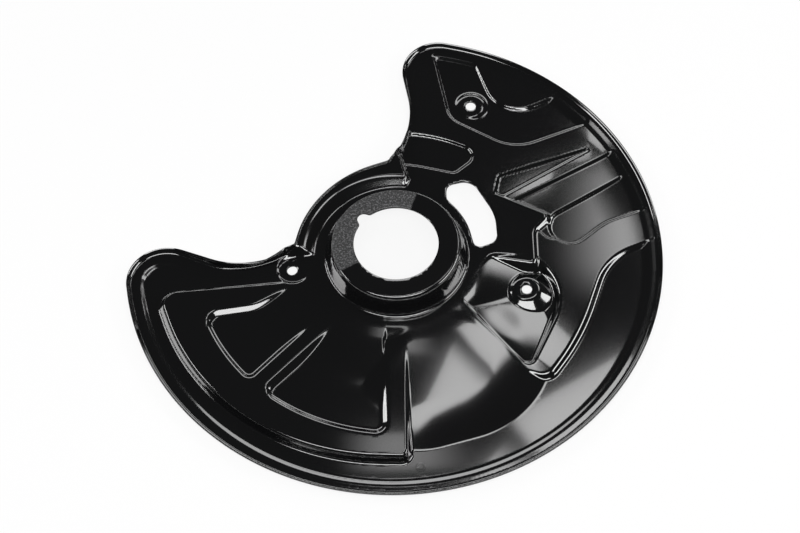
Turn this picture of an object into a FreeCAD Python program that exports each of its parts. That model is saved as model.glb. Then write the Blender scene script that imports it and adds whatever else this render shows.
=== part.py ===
import FreeCAD, Part
import math
import os

# Pressed brake dust shield in 1 mm sheet steel.
# The sheet is what lies between two press dies: the face die carries the side that is seen,
# the back die is the same form set back by the sheet's thickness.
# The dies are drawn with Z = 0 at the underside of the low floor, and the finished piece is then
# lowered so that its origin is the centre of the hub bore on the face of the hub seat, Z up.

doc = FreeCAD.newDocument("brake_dust_shield")

# Driving sizes in millimetres and degrees

SIZES = [
    ("metal", 1.0, "sheet thickness"),
    ("rim_radius", 165.0, "outer edge"),
    ("rim_shift", 1.5, "rim centre lies this far from the hub axis, towards -X"),
    ("low_floor", 1.0, "face of the low floor inside the rim"),
    ("rim_step", 1.5, "rim band above the low floor"),
    ("rim_band", 7.7, "width of the rim band with its lip"),
    ("step_run", 4.0, "width of the sloping step from the rim band to the low floor"),
    ("lip_rise", 3.0, "turned-up lip above the rim band"),
    ("lip_slope", 50.0, "slope of the turned-up lip"),
    ("edge_rise", 2.0, "folded edge round the caliper gap above the arms"),
    ("wall_slope", 50.0, "slope of the raised walls"),
    ("frame_slope", 66.0, "slope of the wall round the raised panel"),
    ("dish_slope", 37.0, "slope of the walls of the sunk panels"),
    ("bore_radius", 26.0, "hub bore"),
    ("seat_radius", 39.3, "outer edge of the flat hub seat, before its fillet"),
    ("seat_rise", 14.4, "hub seat above the shoulder"),
    ("shoulder_height", 8.9, "face of the shoulder round the hub"),
    ("wall_foot", 43.6, "radius of the hub wall at the shoulder"),
    ("seat_bend", 2.0, "face radius of the bend at the top of the hub wall"),
    ("wall_bend", 1.6, "face radius of the bend at its foot"),
    ("shoulder_bend", 6.0, "face radius of the shoulder's outer edge"),
    ("collar_foot", 50.0, "radius where the collar starts to rise"),
    ("collar_top", 57.3, "radius of the collar's crest"),
    ("collar_rise", 3.8, "collar above the shoulder"),
    ("skirt_top", 55.0, "radius where the skirt starts to slope"),
    ("skirt_foot", 124.0, "radius where the skirt meets the low floor"),
    ("skirt_bend", 120.0, "bend radius at the top of the skirt and of the arms"),
    ("bulge_fall", 0.072, "drop per millimetre of radius of the swelling on the lower right"),
    ("bulge_foot", 66.9, "radius of that swelling's round foot"),
    ("bulge_slope", 10.0, "slope of that swelling's foot"),
    ("arm_drop", 0.2, "arms below the shoulder"),
    ("arm_start", 60.8, "radius where the arms start to slope"),
    ("arm_end", 150.0, "radius where the arms reach the height of the rim band"),
    ("panel_rise", 6.5, "raised panel above the low floor"),
    ("dish_depth", 2.5, "sunk panels below the raised panel"),
    ("dish_arc", 125.0, "radius of the sunk panels' outer wall"),
    ("channel_depth", 2.0, "sunk channel and tongue below the arms"),
    ("shallow_depth", 0.9, "shallow windows below the arms"),
    ("window_depth", 1.2, "deep window below the shallow one"),
    ("saddle_height", 7.9, "raised saddle between the kidney hole and the windows"),
    ("hole_radius", 3.2, "three screw holes"),
    ("pad_radius", 8.0, "flat of the raised screw pads"),
    ("pad_rise", 1.6, "screw pads above their floor"),
    ("pad_slope", 32.0, "slope of the pads' rim"),
    ("pad_height_1", 3.9, "top of the pad at the upper screw hole"),
    ("pad_height_3", 6.0, "top of the pad at the right-hand screw hole"),
    ("dimple_radius", 8.6, "flat round the left-hand screw hole"),
    ("dimple_height", 5.8, "face of that flat"),
    ("window_slope", 60.0, "slope of the windows' walls"),
    ("notch_depth", 4.6, "sensor notch beyond the bore"),
    ("notch_angle", 137.0, "direction of the sensor notch"),
    ("notch_width", 8.5, "width of the sensor notch"),
]

sheet = doc.addObject("Spreadsheet::Sheet", "sizes")
for row, (name, value, meaning) in enumerate(SIZES, start=1):
    sheet.set("A%d" % row, meaning)
    sheet.set("B%d" % row, str(value))
    sheet.setAlias("B%d" % row, name)
doc.recompute()


def size(name):
    return float(getattr(sheet, name))


METAL = size("metal")
LOW = size("low_floor")
BAND = LOW + size("rim_step")
LIP = BAND + size("lip_rise")
PANEL = LOW + size("panel_rise")
SHOULDER = size("shoulder_height")
SEAT = SHOULDER + size("seat_rise")
ARM_TOP = SHOULDER - size("arm_drop")
DEEP = -12.0
HIGH = SEAT + 10.0
OPEN = 0.05


def polar(radius, degrees, centre=(0.0, 0.0)):
    a = math.radians(degrees)
    return centre[0] + radius * math.cos(a), centre[1] + radius * math.sin(a)


def tan(degrees):
    return math.tan(math.radians(degrees))


# Outlines are belts run round wheels, given as (x, y, radius).
# The belt turns left round a wheel of positive radius and right round one of negative radius.
# Moving the whole outline out or in only adds to or takes from every radius.
# A turn is one round arc, or for the drawn hub a few rolled flats.

ROUND = 2
ROLLED = 3


def belt(wheels, grow=0.0, plane="top", height=0.0, flats=ROUND):
    wheels = [(x, y, r + grow) for x, y, r in wheels]
    count = len(wheels)
    normals = []
    for i in range(count):
        x1, y1, r1 = wheels[i]
        x2, y2, r2 = wheels[(i + 1) % count]
        gap = math.hypot(x2 - x1, y2 - y1)
        normals.append(math.atan2(y2 - y1, x2 - x1) - math.acos((r1 - r2) / gap))

    def point(wheel, angle):
        x = wheel[0] + wheel[2] * math.cos(angle)
        y = wheel[1] + wheel[2] * math.sin(angle)
        if plane == "top":
            return FreeCAD.Vector(x, y, height)
        return FreeCAD.Vector(x, 0, y)

    edges = []
    for i in range(count):
        wheel = wheels[i]
        start = normals[i - 1]
        turn = (normals[i] - start) % (2 * math.pi)
        if wheel[2] < 0:
            turn = turn - 2 * math.pi
        if abs(abs(turn) - 2 * math.pi) < 1e-6:
            turn = 0.0
        if abs(turn) * abs(wheel[2]) > 1e-6:
            around = [point(wheel, start + turn * k / flats) for k in range(flats + 1)]
            if flats > ROUND:
                edges += [Part.LineSegment(around[k], around[k + 1]).toShape() for k in range(flats)]
            else:
                edges.append(Part.Arc(*around).toShape())
        line = [point(wheel, normals[i]), point(wheels[(i + 1) % count], normals[i])]
        if line[0].distanceToPoint(line[1]) > 1e-6:
            edges.append(Part.LineSegment(line[0], line[1]).toShape())
    return Part.Wire(edges)


def feature(name, shape):
    obj = doc.addObject("Part::Feature", name)
    obj.Shape = shape
    return obj


def prism(name, wheels, bottom, top, grow=0.0):
    face = feature(name + "_outline", Part.Face(belt(wheels, grow, height=bottom)))
    obj = doc.addObject("Part::Extrusion", name)
    obj.Base = face
    obj.DirMode = "Custom"
    obj.Dir = FreeCAD.Vector(0, 0, 1)
    obj.LengthFwd = top - bottom
    obj.Solid = True
    return obj


def tapered(name, wheels, level, far, slope, grow=0.0):
    run = abs(far - level) / tan(slope)
    loft = doc.addObject("Part::Loft", name)
    loft.Sections = [feature(name + "_near", belt(wheels, grow, height=level)),
                     feature(name + "_far", belt(wheels, grow + run, height=far))]
    loft.Solid = True
    loft.Ruled = True
    return loft


def turned(name, profile):
    face = feature(name + "_profile", Part.Face(profile))
    obj = doc.addObject("Part::Revolution", name)
    obj.Source = face
    obj.Axis = FreeCAD.Vector(0, 0, 1)
    obj.Base = FreeCAD.Vector(0, 0, 0)
    obj.Angle = 360
    obj.Solid = True
    return obj


def bend(before, corner, after, radius):
    """Ends and middle of the bend that eases a corner of a profile drawn as (radius, height)."""
    at = FreeCAD.Vector(corner[0], 0, corner[1])
    back = (FreeCAD.Vector(before[0], 0, before[1]) - at).normalize()
    on = (FreeCAD.Vector(after[0], 0, after[1]) - at).normalize()
    half = back.getAngle(on) / 2
    middle = (back + on).normalize() * (radius / math.sin(half) - radius)
    reach = radius / math.tan(half)
    return at + back * reach, at + middle, at + on * reach


def level_solid(name, stations, drop):
    """Solid of revolution below a profile of (radius, height) or (radius, height, bend radius) stations."""
    stations = [(r, z - drop, *more) for r, z, *more in stations]
    last = FreeCAD.Vector(stations[0][0], 0, stations[0][1])
    edges = []
    for i in range(1, len(stations)):
        r, z, *more = stations[i]
        end = FreeCAD.Vector(r, 0, z)
        if more:
            start, middle, end = bend(stations[i - 1], stations[i], stations[i + 1],
                                      more[0] - drop)
            edges.append(Part.LineSegment(last, start).toShape())
            edges.append(Part.LineSegment(start, middle).toShape())
            edges.append(Part.LineSegment(middle, end).toShape())
        else:
            edges.append(Part.LineSegment(last, end).toShape())
        last = end
    inner, outer = stations[0][0], stations[-1][0]
    corners = [last, FreeCAD.Vector(outer, 0, DEEP), FreeCAD.Vector(inner, 0, DEEP),
               FreeCAD.Vector(inner, 0, stations[0][1])]
    edges += [Part.LineSegment(corners[i], corners[i + 1]).toShape() for i in range(3)]
    return turned(name, Part.Wire(edges))


def cut(name, base, tool):
    obj = doc.addObject("Part::Cut", name)
    obj.Base = base
    obj.Tool = tool
    return obj


def fuse(name, shapes):
    obj = doc.addObject("Part::MultiFuse", name)
    obj.Shapes = shapes
    return obj


def common(name, shapes):
    obj = doc.addObject("Part::MultiCommon", name)
    obj.Shapes = shapes
    return obj


# Outlines, seen from above, drawn for this rim radius and spread to the real one

DRAWN_RIM = 165.0
DRAWN_CENTRE = (-size("rim_shift"), 0.0)
SPREAD = size("rim_radius") / DRAWN_RIM


def spread(wheels):
    return [(x * SPREAD, y * SPREAD, r * SPREAD) for x, y, r in wheels]


def spot(x, y):
    return x * SPREAD, y * SPREAD


def on_rim(radius, degrees, inset=0.0):
    return (*polar(DRAWN_RIM - inset - radius + OPEN, degrees, DRAWN_CENTRE), radius)


def on_arc(radius, degrees, reach):
    return (*polar(reach - radius + OPEN, degrees), radius)


OUTLINE = spread([
    (*DRAWN_CENTRE, DRAWN_RIM),
    on_rim(22.5, 77.6),
    (-52.9, 108.9, -63.5),
    (-5.6, 70.0, -3.0),
    (9.8, -5.0, 73.0),
    (-65.0, 9.5, -3.0),
    (-93.6, 47.8, -50.0),
    on_rim(24.5, 185.1),
])
RAISED_PANEL = spread([
    (-6.0, 0.9, 140.0),
    (-0.3, -135.6, 4.0),
    (1.0, -50.0, 4.0),
    (-50.0, -18.0, 3.0),
    (-133.6, -29.8, 9.0),
])
DISH = size("dish_arc")
DISH_NEAR = spread([
    (-51.5, -18.5, 6.0),
    (-95.4, -7.5, -25.0),
    on_arc(9.0, 202.0, DISH),
    (0.0, 0.0, DISH),
    on_arc(6.0, 220.5, DISH),
    (-50.0, -36.0, 6.0),
])
DISH_LOW = spread([
    (-33.5, -50.5, 6.0),
    on_arc(8.0, 231.9, DISH),
    (0.0, 0.0, DISH),
    on_arc(8.0, 262.4, DISH),
    (-13.5, -50.0, 6.0),
])
UPPER_LEVEL = spread([
    (10.0, -45.0, 8.0),
    (*polar(152.1, -37.2, (-34.0, 16.0)), 8.0),
    (-34.0, 16.0, 160.0),
    (163.0, -31.0, -41.8),
    (205.0, 45.0, 8.0),
    (205.0, 190.0, 8.0),
    (-25.0, 190.0, 8.0),
    (-25.0, 20.0, 8.0),
])
FADE = spread([
    (-20.0, -140.0, 5.0),
    (110.0, -140.0, 5.0),
    (86.0, -104.0, 5.0),
    (30.0, -78.0, 5.0),
    (-20.0, -78.0, 5.0),
])
LUG = spread([
    (62.0, -8.0, 4.0),
    (48.0, -30.0, 4.0),
    (78.0, -72.0, 4.0),
    (65.3, -30.6, 32.7),
    (83.0, -7.9, 4.0),
])
WINDOW_INSET = size("rim_band") - 4.0
CHANNEL = spread([
    on_rim(4.0, 40.2, WINDOW_INSET),
    (*DRAWN_CENTRE, DRAWN_RIM - WINDOW_INSET),
    on_rim(4.0, 48.0, WINDOW_INSET),
    (79.3, 131.0, -19.8),
    on_rim(4.0, 71.4, WINDOW_INSET),
    (*DRAWN_CENTRE, DRAWN_RIM - WINDOW_INSET),
    on_rim(4.0, 78.6, WINDOW_INSET),
    (49.0, 113.2, 14.5),
    (78.0, 112.0, 28.5),
])
TONGUE = spread([
    (0.0, 0.0, -68.9),
    (36.2, 66.8, 5.0),
    (41.2, 74.7, 7.9),
    (0.0, 0.0, 93.0),
    (-14.0, 88.5, 4.0),
    (-14.0, 72.5, 3.5),
])
WINDOW = spread([
    on_rim(4.0, 13.4, WINDOW_INSET),
    (*DRAWN_CENTRE, DRAWN_RIM - WINDOW_INSET),
    on_rim(4.0, 21.6, WINDOW_INSET),
    (107.5, 21.5, 12.0),
    (107.6, 20.4, 11.0),
    (147.0, -5.6, -34.0),
])
SHALLOW_LOW = spread([
    on_rim(4.0, 14.5, WINDOW_INSET),
    (*DRAWN_CENTRE, DRAWN_RIM - WINDOW_INSET),
    on_rim(4.0, 28.3, WINDOW_INSET),
    (76.0, 36.0, 3.0),
    (98.0, 20.0, 8.0),
])
SHALLOW_HIGH = spread([
    (121.0, 79.0, 2.2),
    (68.0, 55.8, 3.0),
    (66.5, 47.3, 3.0),
])
SADDLE = spread([
    (60.0, 1.0, 3.0),
    (82.2, -3.4, 3.0),
    (94.0, 13.5, -9.0),
    (90.0, 27.0, 3.0),
    (70.0, 36.0, 4.0),
    (62.0, 40.0, 4.0),
    (55.0, 30.0, 4.0),
])
COLLAR_SECTOR = spread([
    (-10.0, 0.0, 2.0),
    (6.0, 56.0, 2.0),
    (-2.0, 90.0, 2.0),
    (-100.0, 90.0, 2.0),
    (-100.0, 12.0, 2.0),
    (-58.0, 5.0, 2.0),
])
SKIRT_SECTOR = spread([
    (-190.0, -190.0, 5.0),
    (-20.0, -190.0, 5.0),
    (-10.0, 10.0, 5.0),
    (-70.0, 60.0, 5.0),
    (-190.0, 60.0, 5.0),
])
KIDNEY = spread([
    (51.6, 9.6, 4.2),
    (55.2, 14.0, 7.0),
    (29.5, 20.0, 32.4),
    (42.8, 44.0, 9.4),
    (37.6, 46.6, 5.6),
    (36.5, 42.5, 4.6),
    (-1.0, 5.0, -48.2),
])
H1 = spot(49.0, 113.2)
H2 = spot(-64.0, -7.0)
H3 = spot(79.2, -24.5)
SWELLING = spot(27.1, -61.1)


# Face and back dies

def arm(radius):
    start, end = size("arm_start"), size("arm_end")
    return ARM_TOP + (BAND - ARM_TOP) * (radius - start) / (end - start)


FAR = size("rim_radius") + 30.0
ABOVE = SHOULDER + 1.0
BELOW = DEEP - 1.0
WALL_REACH = 3.0


def hub_profile(drop):
    inner, outer, bottom = size("bore_radius") - 6.0, size("skirt_top") + 20.0, DEEP - 8.0
    brow, foot, edge = size("shoulder_bend"), size("wall_bend"), size("seat_bend")
    wheels = [(inner, bottom, 0.0), (outer, bottom, 0.0), (outer, SHOULDER - 4.0 - drop, 0.0),
              (size("skirt_top") - brow / 2, SHOULDER - brow, brow - drop),
              (size("wall_foot") + 1.8, SHOULDER + foot, -foot - drop),
              (size("seat_radius") - edge, SEAT - edge, edge - drop),
              (inner, SEAT - drop, 0.0)]
    return belt(wheels, plane="section", flats=ROLLED)


def pad(name, centre, top, drop):
    cone = doc.addObject("Part::Cone", name)
    slope = "tan(sizes.pad_slope * 1deg)"
    cone.setExpression("Height", "sizes.pad_rise * 3")
    inset = " - %g * sizes.metal * tan(sizes.pad_slope * 0.5deg)" % (1 if drop else 0)
    cone.setExpression("Radius2", "sizes.pad_radius" + inset)
    cone.setExpression("Radius1", "sizes.pad_radius" + inset + " + sizes.pad_rise * 3 / " + slope)
    cone.Placement.Base = FreeCAD.Vector(*centre, top - drop - 3 * size("pad_rise"))
    return cone


def swelling(name, drop):
    cone = doc.addObject("Part::Cone", name)
    foot = "sizes.bulge_foot - %g * sizes.metal * tan(sizes.bulge_slope * 0.5deg)" % (1 if drop else 0)
    cone.setExpression("Height", "sizes.shoulder_height - sizes.low_floor + 2")
    cone.setExpression("Radius1", foot + " + 2 / tan(sizes.bulge_slope * 1deg)")
    cone.setExpression("Radius2", foot + " - (sizes.shoulder_height - sizes.low_floor) / tan(sizes.bulge_slope * 1deg)")
    cone.Placement.Base = FreeCAD.Vector(*SWELLING, LOW - 2.0 - drop)
    return cone


def die(side):
    drop = 0.0 if side == "face" else METAL
    raise_in = lambda slope: -drop * tan(slope / 2)
    sink_out = lambda slope: drop * tan(slope / 2)
    tag = lambda name: name + "_" + side
    lip, wall, dish = size("lip_slope"), size("wall_slope"), size("dish_slope")
    frame = size("frame_slope")
    step = math.degrees(math.atan(size("rim_step") / size("step_run")))

    blank = prism(tag("blank"), OUTLINE, DEEP, LIP)
    lip_tool = tapered(tag("lip_tool"), OUTLINE, BAND - drop, LIP + 0.5, lip,
                       sink_out(lip) - (LIP - BAND) / tan(lip))
    step_tool = tapered(tag("step_tool"), OUTLINE, LOW - drop, BAND, step,
                        sink_out(step) - size("rim_band") - size("step_run"))
    rim = cut(tag("rim"), cut(tag("rim_lip"), blank, lip_tool), step_tool)

    hub = turned(tag("hub"), hub_profile(drop))

    inner, skirt_top, skirt_foot = size("bore_radius") + 4.0, size("skirt_top"), size("skirt_foot")
    skirt_levels = [(inner, ARM_TOP + 0.1), (skirt_top, ARM_TOP + 0.1, size("skirt_bend")),
                    (skirt_foot, LOW), (skirt_foot + 20.0, LOW - 2.0)]
    skirt = common(tag("skirt"), [level_solid(tag("skirt_level"), skirt_levels, drop),
                                  prism(tag("skirt_sector"), SKIRT_SECTOR, BELOW, HIGH)])
    bulge_levels = [(inner, ARM_TOP + 0.05), (skirt_top, ARM_TOP + 0.05, size("skirt_bend")),
                    (skirt_foot + 20.0, ARM_TOP - (skirt_foot + 20.0 - skirt_top) * size("bulge_fall"))]
    bulge = common(tag("bulge"), [level_solid(tag("bulge_level"), bulge_levels, drop),
                                  swelling(tag("bulge_foot"), drop)])
    lug_levels = [(10.0, SHOULDER + 0.6), (58.0, SHOULDER + 0.1), (74.0, LOW + 4.4), (84.0, LOW + 3.5),
                  (FAR, LOW + 3.0)]
    lug_tool = cut(tag("lug_tool"), tapered(tag("lug_outline"), LUG, 3.0, ABOVE, 30.0, sink_out(30.0)),
                   level_solid(tag("lug_level"), lug_levels, drop))
    bulge = cut(tag("bulge_with_lug"), bulge, lug_tool)

    panel = tapered(tag("panel"), RAISED_PANEL, PANEL - drop, DEEP, frame, raise_in(frame))
    dish_floor = PANEL - size("dish_depth") - drop
    dish_run = size("dish_depth") / tan(dish)
    for name, wheels in (("dish_near", DISH_NEAR), ("dish_low", DISH_LOW)):
        tool = tapered(tag(name), wheels, dish_floor, dish_floor + 4.0, dish, sink_out(dish) - dish_run)
        panel = cut(tag("panel_" + name), panel, tool)

    arm_levels = [(0.0, ARM_TOP), (size("arm_start"), ARM_TOP, size("skirt_bend")),
                  (size("arm_end"), BAND), (FAR, BAND)]
    arms = common(tag("arms"), [level_solid(tag("arm_level"), arm_levels, drop),
                                tapered(tag("arm_outline"), UPPER_LEVEL, SHOULDER, DEEP, wall,
                                        raise_in(wall) - 5.0 / tan(wall))])
    fade = tapered(tag("fade"), FADE, LOW, ABOVE, 12.0, sink_out(12.0))
    lug_wall = tapered(tag("lug_wall"), LUG, LOW, ABOVE, wall, sink_out(wall) - 3.0 / tan(wall))
    arms = cut(tag("arms_with_lug"), cut(tag("arms_with_fade"), arms, fade), lug_wall)

    sunk = lambda depth: [(r, z - depth, *more) for r, z, *more in arm_levels]
    deep, shallow = sunk(size("channel_depth")), sunk(size("shallow_depth"))
    window = sunk(size("shallow_depth") + size("window_depth"))
    cuts = [("channel", CHANNEL, deep, 3.4), ("tongue", TONGUE, deep, 6.2), ("window", WINDOW, window, 3.5),
            ("shallow_low", SHALLOW_LOW, shallow, 4.5), ("shallow_high", SHALLOW_HIGH, shallow, 5.5)]
    side_slope = size("window_slope")
    for name, wheels, levels, height in cuts:
        outline = tapered(tag(name + "_outline"), wheels, height - WALL_REACH - drop, ABOVE, side_slope,
                          sink_out(side_slope) - WALL_REACH / tan(side_slope))
        tool = cut(tag(name), outline, level_solid(tag(name + "_level"), levels, drop))
        arms = cut(tag("arms_" + name), arms, tool)

    saddle = tapered(tag("saddle"), SADDLE, size("saddle_height") - drop, LOW - drop, wall, raise_in(wall))
    crest = SHOULDER + size("collar_rise")
    collar_levels = [(inner, SHOULDER - 0.3), (size("collar_foot"), SHOULDER - 0.3),
                     (size("collar_top"), crest), (size("collar_top") + 33.0, crest)]
    collar = common(tag("collar"), [level_solid(tag("collar_level"), collar_levels, drop),
                                    prism(tag("collar_sector"), COLLAR_SECTOR, BELOW, HIGH)])
    pads = [pad(tag("pad_1"), H1, size("pad_height_1"), drop), pad(tag("pad_3"), H3, size("pad_height_3"), drop)]
    return [rim, hub, skirt, bulge, panel, arms, saddle, collar, *pads]


def edge_lip():
    crest = SHOULDER + size("collar_rise") + 1.0
    levels = [(0.0, crest), (70.0, crest), (80.0, arm(80.0) + size("edge_rise")),
              (size("arm_end"), BAND + size("edge_rise") - 0.3), (FAR, BAND + size("edge_rise") - 0.3)]
    wall = cut("edge_wall", prism("edge_outer", OUTLINE, DEEP, HIGH),
               prism("edge_inner", OUTLINE, BELOW, HIGH + 1.0, -METAL))
    return common("edge_lip", [wall, level_solid("edge_level", levels, 0.0)])


def dimple(side):
    drop = 0.0 if side == "face" else METAL
    cone = doc.addObject("Part::Cone", "dimple_" + side)
    foot = "sizes.dimple_radius + %g * sizes.metal * tan(sizes.wall_slope * 0.5deg)" % (1 if drop else 0)
    cone.setExpression("Height", "sizes.shoulder_height + 3")
    cone.setExpression("Radius1", foot)
    cone.setExpression("Radius2", foot + " + (sizes.shoulder_height + 3) / tan(sizes.wall_slope * 1deg)")
    cone.Placement.Base = FreeCAD.Vector(*H2, size("dimple_height") - drop)
    return cone


def bore():
    radius, notch, corner = size("bore_radius"), size("notch_width") / 2, 2.0
    side = math.degrees(math.asin((notch + corner) / (radius + corner)))
    return [
        (0.0, 0.0, radius),
        (*polar(radius + corner + OPEN, size("notch_angle") - side), -corner),
        (*polar(radius + size("notch_depth") - notch, size("notch_angle")), notch),
        (*polar(radius + corner + OPEN, size("notch_angle") + side), -corner),
    ]


def round_hole(name, centre, radius):
    hole = doc.addObject("Part::Cylinder", name)
    hole.setExpression("Radius", "sizes." + radius)
    hole.Height = HIGH - DEEP
    hole.Placement.Base = FreeCAD.Vector(*centre, DEEP)
    return hole


face_die = cut("face_die", fuse("face_forms", [*die("face"), edge_lip()]), dimple("face"))
back_die = cut("back_die", fuse("back_forms", die("back")), dimple("back"))
pressed = cut("pressed", face_die, back_die)
trimmed = common("trimmed", [pressed, prism("trim", OUTLINE, DEEP + 6.0, HIGH)])
holes = fuse("holes", [prism("bore", bore(), DEEP, HIGH),
                       round_hole("hole_1", H1, "hole_radius"), round_hole("hole_2", H2, "hole_radius"),
                       round_hole("hole_3", H3, "hole_radius"), prism("kidney", KIDNEY, DEEP, HIGH)])
shield = cut("shield", trimmed, holes)
shield.Label = "dust_shield"
shield.setExpression("Placement.Base.z", "-(sizes.shoulder_height + sizes.seat_rise)")
doc.recompute()
faults = [obj.Name for obj in doc.Objects if "Invalid" in obj.State or "Error" in obj.State]
if faults or shield.Shape.isNull() or not shield.Shape.isValid():
    raise ValueError("no sound shape from %s" % (faults or shield.Name))
print("solids %d, %.1f cm3" % (len(shield.Shape.Solids), shield.Shape.Volume / 1000))
os.makedirs("parts", exist_ok=True)
shield.Shape.exportStep("parts/dust_shield.step")
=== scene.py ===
import math

import bpy
import numpy as np
from mathutils import Matrix, Vector
from mathutils.geometry import delaunay_2d_cdt


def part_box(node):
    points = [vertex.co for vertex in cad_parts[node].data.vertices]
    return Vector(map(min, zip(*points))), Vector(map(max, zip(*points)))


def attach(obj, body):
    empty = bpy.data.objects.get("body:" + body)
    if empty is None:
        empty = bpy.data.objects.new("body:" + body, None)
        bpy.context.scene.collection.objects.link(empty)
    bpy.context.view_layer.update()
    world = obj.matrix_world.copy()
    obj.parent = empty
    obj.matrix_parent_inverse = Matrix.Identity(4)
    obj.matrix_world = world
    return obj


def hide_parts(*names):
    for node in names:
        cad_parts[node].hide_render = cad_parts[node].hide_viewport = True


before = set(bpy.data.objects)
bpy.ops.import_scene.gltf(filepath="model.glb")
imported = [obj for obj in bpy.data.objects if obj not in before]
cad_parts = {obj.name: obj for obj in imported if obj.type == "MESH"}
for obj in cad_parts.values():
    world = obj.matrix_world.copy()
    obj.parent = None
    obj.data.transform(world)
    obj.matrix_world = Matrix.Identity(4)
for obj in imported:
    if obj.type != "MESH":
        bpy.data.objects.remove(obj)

bl_info = {
    "name": "Brake dust shield",
    "version": (1, 0, 0),
    "blender": (4, 5, 0),
    "location": "3D Viewport > Sidebar > Shield",
    "description": "Pressed steel brake dust shield in gloss black coating, with its studio",
    "category": "Object",
}

MM = 0.001


# Sizes of the pressing, in millimetres and degrees, after the part's source

METAL = 1.0
RIM = (-1.5, 0.0, 165.0)
LOW = 1.0
BAND = LOW + 1.5
LIP = BAND + 3.0
PANEL = LOW + 6.5
SHOULDER = 8.9
SEAT_RISE = 14.4
SEAT = SHOULDER + SEAT_RISE
ARM_TOP = SHOULDER - 0.2
SADDLE_TOP = 7.9
CREST = SHOULDER + 3.8
EDGE_RISE = 2.0
LIP_SLOPE = 50.0
WALL_SLOPE = 50.0
PANEL_SLOPE = 66.0
DISH_SLOPE = 37.0
WINDOW_SLOPE = 60.0
BORE_RADIUS = 26.0
BAND_WIDTH = 7.7
STEP_RUN = 4.0
DISH_ARC = 125.0
SCREW_UPPER = (49.0, 113.2)
SCREW_LEFT = (-64.0, -7.0)
SCREW_RIGHT = (79.2, -24.5)
SCREW_HOLE = 3.2
OPEN = 0.05
PIP = (11.6, -144.5)
WALL_FOOT = 43.6
WALL_RUN = 4.3
LINE_FIRST = 3.2
LINE_PITCH = 3.4
LINE_STEPS = 3
SHOULDER_EDGE = 53.0
SKIRT_TOP = 55.0
SKIRT_FOOT = 124.0
ARM_START = 60.8
ARM_END = 150.0
ARM_EDGE_DROP = 5.0
BULGE_REACH = 144.0
BULGE_FALL = 0.072
BULGE_SLOPE = 10.0
FADE_SLOPE = 12.0
LUG_RISE = 3.0
LUG_REACH = 38.0
LUG_RUN = 27.0
COLLAR_FOOT = 50.0
COLLAR_RUN = 7.3
COLLAR_BLEND = 2.0
DISH_DEPTH = 2.5
PAD_RADIUS = 8.0
PAD_SLOPE = 32.0
PAD_UPPER = 3.9
PAD_RIGHT = 6.0
DIMPLE_RADIUS = 8.6
DIMPLE_HEIGHT = 5.8


def polar(radius, degrees, centre=(0.0, 0.0)):
    a = math.radians(degrees)
    return centre[0] + radius * math.cos(a), centre[1] + radius * math.sin(a)


def tan(degrees):
    return math.tan(math.radians(degrees))


def on_rim(radius, degrees, reach):
    return (*polar(reach - radius + OPEN, degrees, RIM[:2]), radius)


def on_arc(radius, degrees, reach):
    return (*polar(reach - radius + OPEN, degrees), radius)


WINDOW_REACH = RIM[2] - BAND_WIDTH + 4.0
OUTLINE = [RIM, on_rim(22.5, 77.6, RIM[2]), (-52.9, 108.9, -63.5), (-5.6, 70.0, -3.0), (9.8, -5.0, 73.0),
           (-65.0, 9.5, -3.0), (-93.6, 47.8, -50.0), on_rim(24.5, 185.1, RIM[2])]
RAISED_PANEL = [(-6.0, 0.9, 140.0), (-0.3, -135.6, 4.0), (1.0, -50.0, 4.0), (-50.0, -18.0, 3.0),
                (-133.6, -29.8, 9.0)]
DISH_NEAR = [(-51.5, -18.5, 6.0), (-95.4, -7.5, -25.0), on_arc(9.0, 202.0, DISH_ARC), (0.0, 0.0, DISH_ARC),
             on_arc(6.0, 220.5, DISH_ARC), (-50.0, -36.0, 6.0)]
DISH_LOW = [(-33.5, -50.5, 6.0), on_arc(8.0, 231.9, DISH_ARC), (0.0, 0.0, DISH_ARC),
            on_arc(8.0, 262.4, DISH_ARC), (-13.5, -50.0, 6.0)]
UPPER_LEVEL = [(10.0, -45.0, 8.0), (*polar(152.1, -37.2, (-34.0, 16.0)), 8.0), (-34.0, 16.0, 160.0),
               (163.0, -31.0, -41.8), (205.0, 45.0, 8.0), (205.0, 190.0, 8.0), (-25.0, 190.0, 8.0),
               (-25.0, 20.0, 8.0)]
FADE = [(-20.0, -140.0, 5.0), (110.0, -140.0, 5.0), (86.0, -104.0, 5.0), (30.0, -78.0, 5.0),
        (-20.0, -78.0, 5.0)]
LUG = [(62.0, -8.0, 4.0), (48.0, -30.0, 4.0), (78.0, -72.0, 4.0), (65.3, -30.6, 32.7), (83.0, -7.9, 4.0)]
CHANNEL = [on_rim(4.0, 40.2, WINDOW_REACH), (*RIM[:2], WINDOW_REACH), on_rim(4.0, 48.0, WINDOW_REACH),
           (79.3, 131.0, -19.8), on_rim(4.0, 71.4, WINDOW_REACH), (*RIM[:2], WINDOW_REACH),
           on_rim(4.0, 78.6, WINDOW_REACH), (*SCREW_UPPER, 14.5), (78.0, 112.0, 28.5)]
TONGUE = [(0.0, 0.0, -68.9), (36.2, 66.8, 5.0), (41.2, 74.7, 7.9), (0.0, 0.0, 93.0), (-14.0, 88.5, 4.0),
          (-14.0, 72.5, 3.5)]
WINDOW = [on_rim(4.0, 13.4, WINDOW_REACH), (*RIM[:2], WINDOW_REACH), on_rim(4.0, 21.6, WINDOW_REACH),
          (107.5, 21.5, 12.0), (107.6, 20.4, 11.0), (147.0, -5.6, -34.0)]
SHALLOW_LOW = [on_rim(4.0, 14.5, WINDOW_REACH), (*RIM[:2], WINDOW_REACH), on_rim(4.0, 28.3, WINDOW_REACH),
               (76.0, 36.0, 3.0), (98.0, 20.0, 8.0)]
SHALLOW_HIGH = [(121.0, 79.0, 2.2), (68.0, 55.8, 3.0), (66.5, 47.3, 3.0)]
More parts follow.
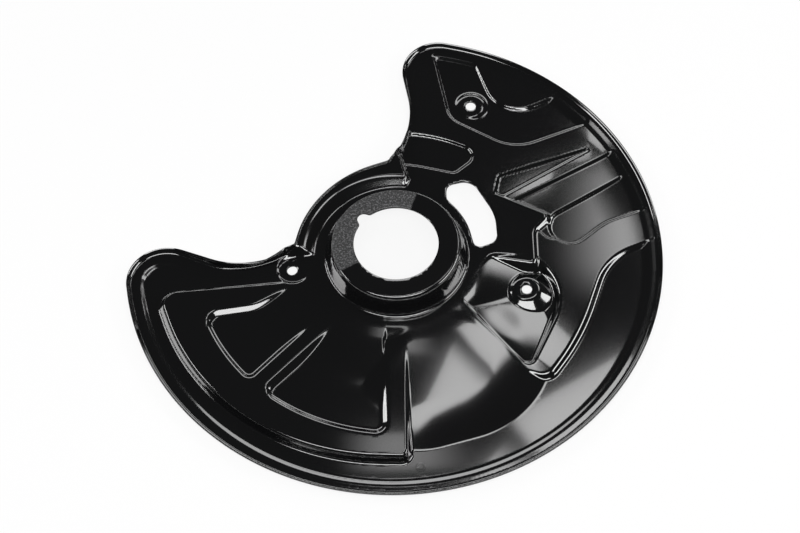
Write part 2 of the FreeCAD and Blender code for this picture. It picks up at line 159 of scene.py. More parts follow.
SADDLE = [(60.0, 1.0, 3.0), (82.2, -3.4, 3.0), (94.0, 13.5, -9.0), (90.0, 27.0, 3.0), (70.0, 36.0, 4.0),
          (62.0, 40.0, 4.0), (55.0, 30.0, 4.0)]
COLLAR = [(-10.0, 0.0, 2.0), (6.0, 56.0, 2.0), (-2.0, 90.0, 2.0), (-100.0, 90.0, 2.0), (-100.0, 12.0, 2.0),
          (-58.0, 5.0, 2.0)]
SKIRT = [(-190.0, -190.0, 5.0), (-20.0, -190.0, 5.0), (-10.0, 10.0, 5.0), (-70.0, 60.0, 5.0),
         (-190.0, 60.0, 5.0)]
BULGE = [(27.1, -61.1, 66.9), (10.0, -80.0, 53.5)]
KIDNEY = [(51.6, 9.6, 4.2), (55.2, 14.0, 7.0), (29.5, 20.0, 32.4), (42.8, 44.0, 9.4), (37.6, 46.6, 5.6),
          (36.5, 42.5, 4.6), (-1.0, 5.0, -48.2)]
SUNK_FORMS = ((SHALLOW_LOW, 0.9, 4.5), (SHALLOW_HIGH, 0.9, 5.5), (CHANNEL, 2.0, 3.4), (TONGUE, 2.0, 6.2),
              (WINDOW, 2.1, 3.5))
NOTCH_ANGLE = 137.0
NOTCH_SPAN = 12.9
BORE_EDGE = [(0.0, 0.0, BORE_RADIUS), (*polar(BORE_RADIUS + 2.05, NOTCH_ANGLE - NOTCH_SPAN), -2.0),
             (*polar(BORE_RADIUS + 0.6, NOTCH_ANGLE), 4.0),
             (*polar(BORE_RADIUS + 2.05, NOTCH_ANGLE + NOTCH_SPAN), -2.0)]


# An outline is a belt round wheels (x, y, radius): left round a positive radius, right round a negative one

def belt_parts(wheels):
    """The arcs and straight runs of a belt, in order."""
    count = len(wheels)
    normals = []
    for i in range(count):
        x1, y1, r1 = wheels[i]
        x2, y2, r2 = wheels[(i + 1) % count]
        gap = math.hypot(x2 - x1, y2 - y1)
        normals.append(math.atan2(y2 - y1, x2 - x1) - math.acos((r1 - r2) / gap))
    parts = []
    for i in range(count):
        x, y, r = wheels[i]
        turn = (normals[i] - normals[i - 1]) % (2 * math.pi)
        if r < 0:
            turn -= 2 * math.pi
        if abs(abs(turn) - 2 * math.pi) < 1e-6:
            turn = 0.0
        parts.append(("arc", x, y, r, normals[i - 1], turn))
        nx, ny = math.cos(normals[i]), math.sin(normals[i])
        x2, y2, r2 = wheels[(i + 1) % count]
        parts.append(("line", x + r * nx, y + r * ny, x2 + r2 * nx, y2 + r2 * ny))
    return parts


def belt_loop(wheels, spacing):
    """Points along the outline, no further apart than the spacing."""
    points = []
    for part in belt_parts(wheels):
        if part[0] == "arc":
            _, x, y, r, start, turn = part
            steps = max(1, math.ceil(abs(r * turn) / spacing), math.ceil(abs(turn) / math.radians(18)))
            if abs(turn) < 1e-6:
                steps = 0
            for k in range(steps):
                a = start + turn * k / steps
                points.append((x + r * math.cos(a), y + r * math.sin(a)))
        else:
            _, x1, y1, x2, y2 = part
            length = math.hypot(x2 - x1, y2 - y1)
            steps = max(1, math.ceil(length / spacing)) if length > 1e-6 else 0
            for k in range(steps):
                points.append((x1 + (x2 - x1) * k / steps, y1 + (y2 - y1) * k / steps))
    return np.array(points)


def belt_depth(wheels, x, y):
    """Distance inside the outline, negative outside it."""
    nearest = np.full(x.shape, 1e9)
    for part in belt_parts(wheels):
        if part[0] == "arc":
            _, cx, cy, r, start, turn = part
            if abs(turn) < 1e-6:
                continue
            dx, dy = x - cx, y - cy
            if r < 0:
                dx, dy = -dx, -dy
            angle = np.arctan2(dy, dx)
            along = (angle - start) % (2 * math.pi) if turn > 0 else (start - angle) % (2 * math.pi)
            away = np.where(along <= abs(turn), np.abs(np.hypot(dx, dy) - abs(r)), 1e9)
            nearest = np.minimum(nearest, away)
        else:
            _, x1, y1, x2, y2 = part
            ux, uy = x2 - x1, y2 - y1
            length2 = ux * ux + uy * uy
            if length2 < 1e-9:
                continue
            t = np.clip(((x - x1) * ux + (y - y1) * uy) / length2, 0.0, 1.0)
            nearest = np.minimum(nearest, np.hypot(x - x1 - t * ux, y - y1 - t * uy))
    return np.where(inside(belt_loop(wheels, 1.0), x, y), nearest, -nearest)


def inside(loop, x, y):
    """Which points lie within a closed loop, by counting the edges to their right."""
    odd = np.zeros(x.shape, bool)
    x1, y1 = loop[:, 0], loop[:, 1]
    x2, y2 = np.roll(x1, -1), np.roll(y1, -1)
    order = np.argsort(y, kind="stable")
    sorted_y = y[order]
    for a, b, c, d in zip(x1, y1, x2, y2):
        if b == d:
            continue
        low, high = (b, d) if b < d else (d, b)
        first = np.searchsorted(sorted_y, low, "left")
        last = np.searchsorted(sorted_y, high, "left")
        if last <= first:
            continue
        rows = order[first:last]
        cross = a + (c - a) * (y[rows] - b) / (d - b)
        odd[rows] ^= x[rows] < cross
    return odd


# The face of the sheet as one smooth height over the plan, pressed like the solid but with rounded bends

def smax(a, b, k):
    """The greater of two heights, with the corner between them rounded over k."""
    h = np.clip(1.0 - np.abs(a - b) / k, 0.0, 1.0)
    return np.maximum(a, b) + h * h * k / 4.0


def smin(a, b, k):
    return -smax(-a, -b, k)


def radial(stations, blur):
    """Height against radius through stations, with its corners eased over a few millimetres."""
    r = np.arange(-40.0, 260.0, 0.25)
    z = np.interp(r, [p[0] for p in stations], [p[1] for p in stations])
    reach = np.arange(-3 * blur, 3 * blur + 0.1, 0.25)
    weights = np.exp(-0.5 * (reach / blur) ** 2)
    z = np.convolve(np.pad(z, len(reach) // 2, mode="edge"), weights / weights.sum(), mode="valid")
    return lambda radius: np.interp(radius, r, z)


arm_level = radial([(-40.0, ARM_TOP), (ARM_START, ARM_TOP), (ARM_END, BAND), (260.0, BAND)], 5.0)
skirt_level = radial([(-40.0, ARM_TOP + 0.1), (SKIRT_TOP, ARM_TOP + 0.1), (SKIRT_FOOT, LOW), (260.0, LOW)], 6.0)
bulge_level = radial([(-40.0, ARM_TOP + 0.05), (SKIRT_TOP, ARM_TOP + 0.05),
                      (BULGE_REACH, ARM_TOP - (BULGE_REACH - SKIRT_TOP) * BULGE_FALL)], 6.0)
lug_level = radial([(-40.0, SHOULDER + 0.6), (58.0, SHOULDER + 0.1), (74.0, LOW + 4.4), (84.0, LOW + 3.5),
                    (195.0, LOW + LUG_RISE)], 3.0)


def raised(wheels, top, slope, x, y, k=1.0):
    """Height of a flat-topped form whose outline is its top edge."""
    depth = belt_depth(wheels, x, y)
    return smin(top, top + depth * tan(slope), k)


def sunk(surface, wheels, floor, level, slope, x, y, k=1.0):
    """Sinks a floor into the surface: the outline is the wall's place at the given level."""
    depth = belt_depth(wheels, x, y)
    wall = level - depth * tan(slope)
    return smin(surface, smax(floor, wall, k), k)


def face_height(x, y):
    """Height of the face over the plan, without the rim lip."""
    r = np.hypot(x, y)
    edge = belt_depth(OUTLINE, x, y)
    step = LOW + (BAND_WIDTH + STEP_RUN - edge) * (BAND - LOW) / STEP_RUN
    low = smax(LOW, smin(BAND, step, 0.3), 0.3)

    skirt = np.where(belt_depth(SKIRT, x, y) > 0, skirt_level(r), LOW)
    z = smax(low, skirt, 0.3)
    bulge = smin(bulge_level(r), LOW + belt_depth(BULGE, x, y) * tan(BULGE_SLOPE), 1.2)
    near = np.clip((LUG_REACH - np.hypot(x - SCREW_RIGHT[0], y - SCREW_RIGHT[1])) / LUG_RUN, 0.0, 1.0)
    dip = near * near * (3.0 - 2.0 * near)
    z = smax(z, bulge + (smin(bulge, lug_level(r), 1.0) - bulge) * dip, 0.12)

    panel = raised(RAISED_PANEL, PANEL, PANEL_SLOPE, x, y, 1.6)
    for wheels in (DISH_NEAR, DISH_LOW):
        panel = sunk(panel, wheels, PANEL - DISH_DEPTH, PANEL, DISH_SLOPE, x, y, 1.1)
    z = smax(z, panel, 1.1)

    cone = arm_level(r)
    inset = belt_depth(UPPER_LEVEL, x, y) - ARM_EDGE_DROP / tan(WALL_SLOPE)
    arms = smin(cone, SHOULDER + inset * tan(WALL_SLOPE), 1.0)
    arms = smin(arms, LOW - belt_depth(FADE, x, y) * tan(FADE_SLOPE), 0.8)
    arms = smin(arms, LOW + LUG_RISE - belt_depth(LUG, x, y) * tan(WALL_SLOPE), 1.2)
    for wheels, depth, level in SUNK_FORMS:
        arms = sunk(arms, wheels, cone - depth, level, WINDOW_SLOPE, x, y, 0.8)
    z = smax(z, arms, 0.8)
    z = smax(z, raised(SADDLE, SADDLE_TOP, WALL_SLOPE, x, y), 0.8)

    collar = smin(CREST, SHOULDER + (r - COLLAR_FOOT) * (CREST - SHOULDER) / COLLAR_RUN, 1.2)
    within = np.clip(belt_depth(COLLAR, x, y) / COLLAR_BLEND + 0.5, 0.0, 1.0)
    z = np.where(within > 0, smax(z, collar * within + z * (1 - within), 0.6), z)

    for place, top in ((SCREW_UPPER, PAD_UPPER), (SCREW_RIGHT, PAD_RIGHT)):
        away = np.hypot(x - place[0], y - place[1])
        z = smax(z, smin(top, top + (PAD_RADIUS - away) * tan(PAD_SLOPE), 0.8), 0.6)
    away = np.hypot(x - SCREW_LEFT[0], y - SCREW_LEFT[1])
    dimple = smax(DIMPLE_HEIGHT, DIMPLE_HEIGHT + (away - DIMPLE_RADIUS) * tan(WALL_SLOPE), 1.2)
    z = smin(z, dimple, 1.2)

    shoulder = smin(SHOULDER, SHOULDER - (r - SHOULDER_EDGE) * 0.25, 1.5)
    wall = SHOULDER + (WALL_FOOT - r) * SEAT_RISE / WALL_RUN
    for k in range(LINE_STEPS):
        height = SHOULDER + LINE_FIRST + LINE_PITCH * k
        wall = wall + 0.5 * np.exp(-(((SHOULDER + (WALL_FOOT - r) * 3.35) - height) / 0.9) ** 2)
    hub = smin(SEAT, smax(shoulder, wall, 2.2), 3.4)
    z = smax(z, hub, 0.5)
    return z


def lip_height(x, y):
    """Top of the folded edge round the caliper gap, from its distance to the hub axis."""
    r = np.hypot(x, y)
    return np.interp(r, [0.0, 70.0, 80.0, ARM_END, 195.0],
                     [CREST + 1.0, CREST + 1.0, arm_level(80.0) + EDGE_RISE, BAND + 1.7, BAND + 1.7])


# The sheet as one mesh: a dense face, a lighter back, and rolled edges

RIM_SPACING = 1.5
HOLE_SPACING = 1.2
HOLE_ROUND = 0.18
STEEPEST = 14.0
SHARP_BEND = 0.05
SOFT_BEND = 0.006
# Rows of the rim edge: distance inside the outline, share of the folded edge's lift, and rounding
EDGE_ROWS = [(0.0, 1.0, -0.15), (0.15, 1.0, 0.0), (0.85, 1.0, 0.0), (METAL, 1.0, -0.15), (1.06, 0.1, 0.0),
             (1.3, 0.02, 0.0), (1.7, 0.0, 0.0), (2.2, 0.0, 0.0), (2.8, 0.0, 0.0)]
FACE_MARGIN = 3.2
BACK_MARGIN = 1.0


def face_at(x, y, edge):
    """Face height with the upturned rim lip; edge is the distance inside the outline."""
    return smax(face_height(x, y), LIP - edge * tan(LIP_SLOPE), 0.9)


def back_at(x, y, edge, span=0.35):
    """Back height: the face moved down by the sheet, more where it is steep."""
    z = face_at(x, y, edge)
    zx = face_at(x + span, y, edge_depth(x + span, y))
    zy = face_at(x, y + span, edge_depth(x, y + span))
    slope2 = ((zx - z) / span) ** 2 + ((zy - z) / span) ** 2
    return z - METAL * np.sqrt(1.0 + np.minimum(slope2, STEEPEST))


def edge_depth(x, y):
    return belt_depth(OUTLINE, x, y)


HOLES = [BORE_EDGE, KIDNEY] + [[(*place, SCREW_HOLE)] for place in (SCREW_UPPER, SCREW_LEFT, SCREW_RIGHT)]


def hole_loop(wheels, spacing):
    if len(wheels) == 1:
        x, y, r = wheels[0]
        angles = np.linspace(0.0, 2 * math.pi, 29)[:-1]
        return np.stack([x + r * np.cos(angles), y + r * np.sin(angles)], 1)
    return belt_loop(wheels, spacing)


def outward(loop):
    """Unit normals on the right of the loop's run."""
    ahead, behind = np.roll(loop, -1, 0), np.roll(loop, 1, 0)
    run = ahead - behind
    run /= np.maximum(np.hypot(run[:, 0], run[:, 1]), 1e-9)[:, None]
    return np.stack([run[:, 1], -run[:, 0]], 1)


def hole_gap(wheels, x, y):
    """Distance outside a hole, negative within it."""
    if len(wheels) == 1:
        return np.hypot(x - wheels[0][0], y - wheels[0][1]) - wheels[0][2]
    return -belt_depth(wheels, x, y)


def scatter(pitch, margin, hole_margin):
    """Points of the plan, close together where the face bends and far apart where it is plain."""
    axis_x = np.arange(RIM[0] - RIM[2], RIM[0] + RIM[2], pitch)
    axis_y = np.arange(-RIM[2], RIM[2], pitch)
    gx, gy = np.meshgrid(axis_x, axis_y, indexing="ij")
    shape = gx.shape
    x, y = gx.ravel(), gy.ravel()
    edge = edge_depth(x, y)
    z = face_at(x, y, edge).reshape(shape)
    bend = np.zeros(shape)
    bend[1:-1, :] += np.abs(z[2:, :] - 2 * z[1:-1, :] + z[:-2, :])
    bend[:, 1:-1] += np.abs(z[:, 2:] - 2 * z[:, 1:-1] + z[:, :-2])
    bend[1:-1, 1:-1] += np.abs(z[2:, 2:] - z[:-2, 2:] - z[2:, :-2] + z[:-2, :-2]) / 2
    bend /= pitch * pitch

    def widened(mask, cells):
        for _ in range(cells):
            grown = mask.copy()
            grown[1:, :] |= mask[:-1, :]
            grown[:-1, :] |= mask[1:, :]
            grown[:, 1:] |= mask[:, :-1]
            grown[:, :-1] |= mask[:, 1:]
            mask = grown
        return mask

    ix, iy = np.meshgrid(np.arange(shape[0]), np.arange(shape[1]), indexing="ij")
    fine = widened(bend > SHARP_BEND, 1)
    medium = widened(bend > SOFT_BEND, 2) & (ix % 2 == 0) & (iy % 2 == 0)
    coarse = (ix % 4 == 0) & (iy % 4 == 0)
    keep = (fine | medium | coarse).ravel() & (edge > margin)
    for wheels in HOLES:
        keep &= hole_gap(wheels, x, y) > hole_margin
    return x[keep], y[keep]


class Skin:
    """Collects vertices and faces of the sheet."""

    def __init__(self):
        self.points = []
        self.faces = []
        self.flat = []

    def add(self, xy, z):
        first = len(self.points)
        self.points += [(a * MM, b * MM, (c - SEAT) * MM) for (a, b), c in zip(xy.tolist(), z.tolist())]
        return list(range(first, first + len(xy)))

    def band(self, outer, inner, flat=False):
        """Quads between two loops of equal count, the outer one on the right of its run."""
        n = len(outer)
        if flat:
            self.flat += range(len(self.faces), len(self.faces) + n)
        for k in range(n):
            j = (k + 1) % n
            self.faces.append((outer[k], outer[j], inner[j], inner[k]))

    def fill(self, rings, xy, heights, up):
        """Triangles between rings (index lists) and loose points."""
        loose = self.add(xy, heights)
        index = [i for ring in rings for i in ring] + loose
        flat = [Vector((self.points[i][0] / MM, self.points[i][1] / MM)) for i in index]
        edges, start = [], 0
        for ring in rings:
            n = len(ring)
            edges += [(start + k, start + (k + 1) % n) for k in range(n)]
            start += n
        made = delaunay_2d_cdt(flat, edges, [], 0, 1e-5)
        coords = np.array([tuple(v) for v in made[0]])
        source = [o[0] if o else -1 for o in made[3]]
        tris = np.array([f for f in made[2] if len(f) == 3])
        centre = coords[tris].mean(1)
        keep = np.zeros(len(tris), bool)
        for k, ring in enumerate(rings):
            loop = np.array([(self.points[i][0] / MM, self.points[i][1] / MM) for i in ring])
            within = inside(loop, centre[:, 0], centre[:, 1])
            keep = within if k == 0 else keep & ~within
        for a, b, c in tris[keep]:
            a, b, c = index[source[a]], index[source[b]], index[source[c]]
            ax, ay, _ = self.points[a]
            bx, by, _ = self.points[b]
            cx, cy, _ = self.points[c]
            turn = (bx - ax) * (cy - ay) - (by - ay) * (cx - ax)
            self.faces.append((a, b, c) if (turn > 0) == up else (a, c, b))


def build_sheet(name, face_pitch, back_pitch):
    """The whole pressing as one mesh object."""
    skin = Skin()
    rings_face, rings_back = [], []
    loop = belt_loop(OUTLINE, RIM_SPACING)
    normal = outward(loop)
    middle = loop - normal * 0.5
    lift = np.maximum(lip_height(middle[:, 0], middle[:, 1])
                      - face_at(middle[:, 0], middle[:, 1], np.full(len(loop), 0.5)), 0.0)
    last = None
    for depth, share, shift in EDGE_ROWS:
        xy = loop - normal * depth
        z = face_at(xy[:, 0], xy[:, 1], np.full(len(xy), depth)) + lift * share
        z = z + shift * np.where((depth < 0.5) | (lift > 0.3), 1.0, 0.0)
        ring = skin.add(xy, z)
        if last:
            skin.band(last, ring)
        else:
            first_face = ring
        last = ring
    rings_face.append(last)
    back_z = back_at(loop[:, 0], loop[:, 1], np.zeros(len(loop)))
    back_ring = skin.add(loop, back_z)
    skin.band(back_ring, first_face)
    rings_back.append(back_ring)
    for wheels in HOLES:
        edge = hole_loop(wheels, HOLE_SPACING)
        outer = edge + outward(edge) * HOLE_ROUND
        depth = edge_depth(edge[:, 0], edge[:, 1])
        low = skin.add(edge, face_at(edge[:, 0], edge[:, 1], depth) - HOLE_ROUND)
        high = skin.add(outer, face_at(outer[:, 0], outer[:, 1], depth))
        under = skin.add(edge, back_at(edge[:, 0], edge[:, 1], depth))
        skin.band(high, low, flat=True)
        skin.band(low, under, flat=True)
        rings_face.append(high)
        rings_back.append(under)
    for pitch, rings, height, margin, up in ((face_pitch, rings_face, face_at, FACE_MARGIN, True),
                                             (back_pitch, rings_back, back_at, BACK_MARGIN, False)):
        x, y = scatter(pitch, margin, 0.6 + (0.0 if up else 0.6))
        skin.fill(rings, np.stack([x, y], 1), height(x, y, edge_depth(x, y)), up)
    mesh = bpy.data.meshes.new(name)
    mesh.from_pydata(skin.points, [], skin.faces)
    mesh.shade_smooth()
    for index in skin.flat:
        mesh.polygons[index].use_smooth = False
    mesh.validate()
    obj = bpy.data.objects.new(name, mesh)
    bpy.context.scene.collection.objects.link(obj)
    return obj


# Materials: a socket wrapper, so that shader maths is written as expressions

class Wire:
    def __init__(self, tree, socket):
        self.tree = tree
        self.socket = socket

    def math(self, operation, *values):
        return self.tree.node("ShaderNodeMath", {"operation": operation, "use_clamp": False},
                              {i: v for i, v in enumerate(values)})

    def __add__(self, other):
        return self.math("ADD", self, other)

    __radd__ = __add__

    def __sub__(self, other):
        return self.math("SUBTRACT", self, other)

    def __rsub__(self, other):
        return self.math("SUBTRACT", other, self)

    def __mul__(self, other):
        return self.math("MULTIPLY", self, other)

    __rmul__ = __mul__


class Tree:
    def __init__(self, owner):
        owner.use_nodes = True
        self.tree = owner.node_tree
        self.tree.nodes.clear()

    def node(self, kind, settings, inputs, output=0):
        made = self.tree.nodes.new(kind)
        for key, value in settings.items():
            setattr(made, key, value)
        for key, value in inputs.items():
            if isinstance(value, Wire):
                self.tree.links.new(value.socket, made.inputs[key])
            else:
                made.inputs[key].default_value = value
        return Wire(self, made.outputs[output]) if made.outputs else None


def smooth_mask(tree, value, start, end):
    return tree.node("ShaderNodeMapRange", {"interpolation_type": "SMOOTHSTEP"},
                     {"Value": value, "From Min": start, "From Max": end})


# Rough patch on the hub seat, in metres and degrees, and the grey painted into its speckles as a painted
# highlight of light glinting on the rough coating

PATCH_INNER = (0.0262, 0.0268)
PATCH_OUTER = (0.0386, 0.0394)
PATCH_FLOOR = (-0.0012, -0.0006)
PATCH_START = 68.0
PATCH_END = -150.0
PATCH_ROUGHNESS = 0.62
# painted highlight: grey for the speckles of the rough patch, standing in for light glinting on the rough black
# coating
GLINT_GREY = (0.14, 0.14, 0.145, 1.0)


def coating_material(sizes):
    """Gloss black dip coating, with the rough patch on the hub seat and its painted grey highlight speckles."""
    material = bpy.data.materials.new("black_coating")
    tree = Tree(material)
    place = tree.node("ShaderNodeNewGeometry", {}, {}, "Position")
    axes = tree.node("ShaderNodeSeparateXYZ", {}, {0: place})
    x, y, z = (Wire(tree, axes.socket.node.outputs[k]) for k in range(3))
    radius = axes.math("SQRT", x * x + y * y)
    turn = axes.math("ARCTAN2", y, x)

    peel = tree.node("ShaderNodeTexNoise", {"noise_dimensions": "3D"},
                     {"Vector": place, "Scale": 900.0, "Detail": 2.0, "Roughness": 0.5})
    drift = tree.node("ShaderNodeTexNoise", {"noise_dimensions": "3D"},
                      {"Vector": place, "Scale": 14.0, "Detail": 3.0, "Roughness": 0.6})
    grain = tree.node("ShaderNodeTexNoise", {"noise_dimensions": "3D"},
                      {"Vector": place, "Scale": 800.0, "Detail": 3.0, "Roughness": 0.75})

    warp = (drift - 0.5) * 0.0016
    rough_ring = smooth_mask(tree, radius + warp, *PATCH_INNER) * (
        1.0 - smooth_mask(tree, radius + warp, *PATCH_OUTER)) * smooth_mask(tree, z, *PATCH_FLOOR)
    start, end = math.radians(PATCH_START), math.radians(PATCH_END)
    arc = smooth_mask(tree, turn, start, start + 0.06) + (1.0 - smooth_mask(tree, turn, end - 0.05, end + 0.01))
    rough = rough_ring * arc

    # painted highlight: the speckles of the rough patch turn grey, standing in for light glinting on the rough
    # coating
    glint_speck = smooth_mask(tree, grain, 0.47, 0.66)
    base = tree.node("ShaderNodeMix", {"data_type": "RGBA"},
                     {"Factor": rough * glint_speck, 6: (*sizes.coating_colour, 1.0), 7: GLINT_GREY}, 2)
    gloss = sizes.coating_roughness + (drift - 0.5) * 0.05
    roughness = gloss * (1.0 - rough) + rough * PATCH_ROUGHNESS
    pip_x, pip_y = PIP[0] * MM, PIP[1] * MM
    from_pip = axes.math("SQRT", (x - pip_x) * (x - pip_x) + (y - pip_y) * (y - pip_y))
    pip = smooth_mask(tree, from_pip, 0.0034, 0.0026) - smooth_mask(tree, from_pip, 0.0024, 0.0012) * 0.7
    height = peel * 0.000012 * (1.0 - rough) + grain * 0.00055 * rough + pip * 0.0004
    bump = tree.node("ShaderNodeBump", {}, {"Strength": 0.5, "Distance": 1.0, "Height": height})
    shader = tree.node("ShaderNodeBsdfPrincipled", {}, {
        "Base Color": base, "Roughness": roughness, "Normal": bump, "IOR": 1.62,
        "Coat Weight": 1.0 - rough, "Coat Roughness": 0.04, "Coat IOR": 1.6})
    tree.node("ShaderNodeOutputMaterial", {}, {"Surface": shader})
    return material


class ShieldSizes(bpy.types.PropertyGroup):
    """Colours and finish of the pressing."""
    coating_colour: bpy.props.FloatVectorProperty(
        name="Coating colour", description="Colour of the black dip coating", subtype="COLOR",
        size=3, min=0.0, max=1.0, default=(0.003, 0.0031, 0.0034))
    coating_roughness: bpy.props.FloatProperty(
        name="Coating roughness", description="How matt the coating is", subtype="FACTOR",
        min=0.0, max=1.0, default=0.1)
    face_pitch: bpy.props.FloatProperty(
        name="Face detail", description="Spacing of the mesh along bends on the face, in millimetres",
        min=0.5, max=5.0, default=0.85)
    back_pitch: bpy.props.FloatProperty(
        name="Back detail", description="Spacing of the mesh along bends on the back, in millimetres",
        min=0.5, max=8.0, default=1.7)


class StudioSizes(bpy.types.PropertyGroup):
    """Studio floor colour and the level of the dim room."""
    floor_colour: bpy.props.FloatVectorProperty(
        name="Floor colour", description="Colour of the studio floor", subtype="COLOR",
        size=3, min=0.0, max=1.0, default=(0.86, 0.86, 0.86))
    sky: bpy.props.FloatProperty(
        name="Room level", description="Light of the dim room around the lamps",
        min=0.0, max=1.0, default=0.035)


# Camera, fitted to the photograph: metres, degrees, and the lens in pixels of the picture's width

CAMERA_DISTANCE = 2.5
CAMERA_ELEVATION = 57.83
CAMERA_ROLL = -1.41
CAMERA_TARGET = (0.00206, -0.00576, (5.5 - SEAT) * MM)
LENS_PIXELS = 4074.7
PICTURE_WIDTH = 800.0
SENSOR_WIDTH = 36.0
FLOOR_SIZE = 6
FLOOR_GLOW = 0.88


# Lamps: name, place, aim, turn, width, length, brightness, and the share that each side fades in

DOWN = None
SHARP = (0.0, 0.0, 0.0, 0.0)
HUB = (0.0, 0.0, 0.0)
LAMPS = [
    ("strip_low", (37.0, 62.0, 500.0), DOWN, -38.0, 70.0, 232.0, 4.0, (0.02, 0.3, 0.3, 0.14)),
    ("box_corner", (144.0, 182.0, 500.0), DOWN, 31.7, 110.0, 82.0, 4.0, (0.1, 0.0, 0.3, 0.04)),
    ("box_right", (282.0, 362.0, 500.0), DOWN, 0.0, 190.0, 230.0, 3.6, (0.45, 0.0, 0.35, 0.1)),
    ("stripe_right", (192.0, 462.0, 500.0), DOWN, 30.0, 100.0, 28.0, 4.0, (0.2, 0.2, 0.1, 0.1)),
    ("glow_middle", (4.0, 158.0, 500.0), DOWN, 0.0, 110.0, 30.0, 1.8, (0.4, 0.5, 0.3, 0.1)),
    ("front_high", (0.0, -620.0, 1100.0), HUB, 0.0, 1300.0, 420.0, 7.0, SHARP),
    ("back_low", (0.0, 1300.0, 560.0), HUB, 0.0, 1800.0, 380.0, 2.6, SHARP),
    ("left_side", (-1100.0, 150.0, 560.0), HUB, 0.0, 900.0, 320.0, 7.0, SHARP),
    ("right_side", (1100.0, -50.0, 560.0), HUB, 0.0, 900.0, 320.0, 7.0, SHARP),
]


class SHIELD_OT_pressing(bpy.types.Operator):
    """Make the pressed sheet in its black coating"""
    bl_idname = "shield.pressing"
    bl_label = "Pressed sheet"

    def execute(self, context):
        sizes = context.scene.shield_sizes
        sheet = build_sheet("pressed_sheet", sizes.face_pitch, sizes.back_pitch)
        coating = coating_material(sizes)
        sheet.data.materials.append(coating)
        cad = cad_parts["dust_shield"]
        cad.data.materials.clear()
        cad.data.materials.append(coating)
        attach(sheet, "root")
        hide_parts("dust_shield")
        return {"FINISHED"}


def fade_lamp(data, fades):
    """Lets the lamp's glow fall off towards its left, right, lower and upper sides."""
    tree = Tree(data)
    face = tree.node("ShaderNodeNewGeometry", {}, {}, "Parametric")
    sides = tree.node("ShaderNodeSeparateXYZ", {}, {0: face})
    across, along = (Wire(tree, sides.socket.node.outputs[k]) for k in range(2))
    glow = 1.0
    reaches = (across, 1.0 - across, along, 1.0 - along)
    for reach, fade in zip(reaches, fades):
        if fade > 0.0:
            glow = glow * smooth_mask(tree, reach, 0.0, fade)
    shade = tree.node("ShaderNodeMix", {"data_type": "RGBA"},
                      {"Factor": glow, 6: (0.0, 0.0, 0.0, 1.0), 7: (1.0, 1.0, 1.0, 1.0)}, 2)
    lit = tree.node("ShaderNodeEmission", {}, {"Color": shade})
    tree.node("ShaderNodeOutputLight", {}, {"Surface": lit})


def aim(obj, place, target, turn):
    place, target = Vector(place) * MM, Vector(target) * MM
    facing = (target - place).to_track_quat("-Z", "Y").to_matrix().to_4x4()
    obj.matrix_world = Matrix.Translation(place) @ facing @ Matrix.Rotation(math.radians(turn), 4, "Z")


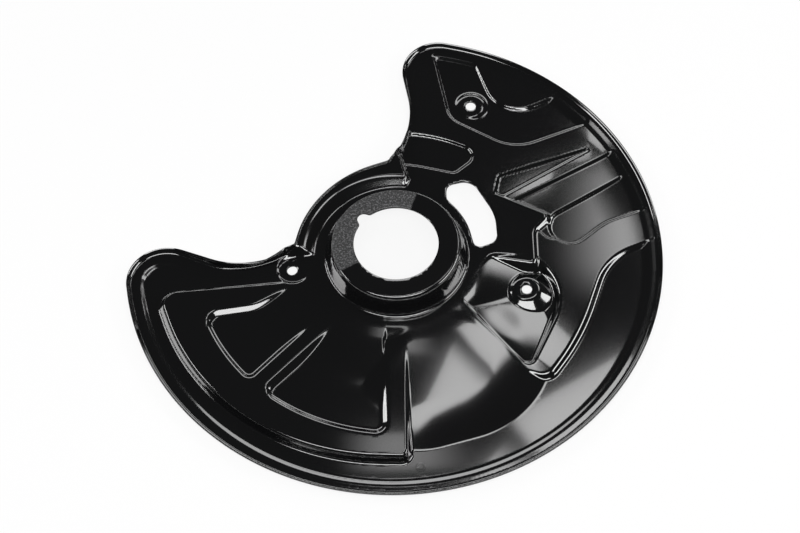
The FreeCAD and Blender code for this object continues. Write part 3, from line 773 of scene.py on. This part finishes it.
class SHIELD_OT_studio(bpy.types.Operator):
    """Set up the floor, the lamps, the room and the camera"""
    bl_idname = "shield.studio"
    bl_label = "Studio"

    def execute(self, context):
        scene = context.scene
        sizes = scene.studio_sizes
        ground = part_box("dust_shield")[0].z
        mesh = bpy.data.meshes.new("studio_floor")
        corners = ((-1, -1), (1, -1), (1, 1), (-1, 1))
        mesh.from_pydata([(a * FLOOR_SIZE, b * FLOOR_SIZE, ground) for a, b in corners], [], [(0, 1, 2, 3)])
        floor = bpy.data.objects.new("studio_floor", mesh)
        scene.collection.objects.link(floor)
        material = bpy.data.materials.new("studio_floor")
        tree = Tree(material)
        matt = tree.node("ShaderNodeBsdfDiffuse", {}, {"Color": (*sizes.floor_colour, 1.0)})
        glow = tree.node("ShaderNodeEmission", {}, {"Color": (1.0, 1.0, 1.0, 1.0), "Strength": 1.0})
        seen = tree.node("ShaderNodeLightPath", {}, {}, "Is Camera Ray")
        mix = tree.node("ShaderNodeMixShader", {}, {0: seen * FLOOR_GLOW, 1: matt, 2: glow})
        tree.node("ShaderNodeOutputMaterial", {}, {"Surface": mix})
        mesh.materials.append(material)

        world = bpy.data.worlds.new("studio_room")
        scene.world = world
        tree = Tree(world)
        seen = tree.node("ShaderNodeLightPath", {}, {}, "Is Camera Ray")
        sky = tree.node("ShaderNodeBackground", {}, {"Color": (1.0, 1.0, 1.0, 1.0),
                                                    "Strength": seen * (1.0 - sizes.sky) + sizes.sky})
        tree.node("ShaderNodeOutputWorld", {}, {"Surface": sky})

        for name, place, target, turn, width, length, level, fades in LAMPS:
            data = bpy.data.lights.new(name, "AREA")
            data.shape = "RECTANGLE"
            data.size = width * MM
            data.size_y = length * MM
            data.energy = level * math.pi * data.size * data.size_y
            if max(fades) > 0.0:
                fade_lamp(data, fades)
            lamp = bpy.data.objects.new(name, data)
            scene.collection.objects.link(lamp)
            aim(lamp, place, target or (place[0], place[1], 0.0), turn)
            lamp.visible_camera = False

        data = bpy.data.cameras.new("camera")
        camera = bpy.data.objects.new("camera", data)
        scene.collection.objects.link(camera)
        elevation, roll = math.radians(CAMERA_ELEVATION), math.radians(CAMERA_ROLL)
        target = Vector(CAMERA_TARGET)
        forward = Vector((0.0, math.cos(elevation), -math.sin(elevation)))
        right = Vector((1.0, 0.0, 0.0))
        up = right.cross(forward)
        side = right * math.cos(roll) + up * math.sin(roll)
        top = up * math.cos(roll) - right * math.sin(roll)
        turned = Matrix((side, top, -forward)).transposed().to_4x4()
        camera.matrix_world = Matrix.Translation(target - forward * CAMERA_DISTANCE) @ turned
        data.sensor_width = SENSOR_WIDTH
        data.lens = LENS_PIXELS / PICTURE_WIDTH * SENSOR_WIDTH
        data.clip_end = 50.0
        scene.camera = camera
        scene.view_settings.view_transform = "Standard"
        return {"FINISHED"}


class SHIELD_PT_panel(bpy.types.Panel):
    """Steps that make the shield and its studio"""
    bl_label = "Brake dust shield"
    bl_idname = "SHIELD_PT_panel"
    bl_space_type = "VIEW_3D"
    bl_region_type = "UI"
    bl_category = "Shield"

    def draw(self, context):
        layout = self.layout
        sizes = context.scene.shield_sizes
        for name in ("coating_colour", "coating_roughness", "face_pitch", "back_pitch"):
            layout.prop(sizes, name)
        layout.operator("shield.pressing")
        studio = context.scene.studio_sizes
        for name in ("floor_colour", "sky"):
            layout.prop(studio, name)
        layout.operator("shield.studio")


CLASSES = (ShieldSizes, StudioSizes, SHIELD_OT_pressing, SHIELD_OT_studio, SHIELD_PT_panel)


def register():
    for entry in CLASSES:
        bpy.utils.register_class(entry)
    bpy.types.Scene.shield_sizes = bpy.props.PointerProperty(type=ShieldSizes)
    bpy.types.Scene.studio_sizes = bpy.props.PointerProperty(type=StudioSizes)


def unregister():
    del bpy.types.Scene.studio_sizes
    del bpy.types.Scene.shield_sizes
    for entry in reversed(CLASSES):
        bpy.utils.unregister_class(entry)


def main():
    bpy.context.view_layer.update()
    register()
    bpy.ops.shield.pressing()
    bpy.ops.shield.studio()


if __name__ == "__main__":
    main()
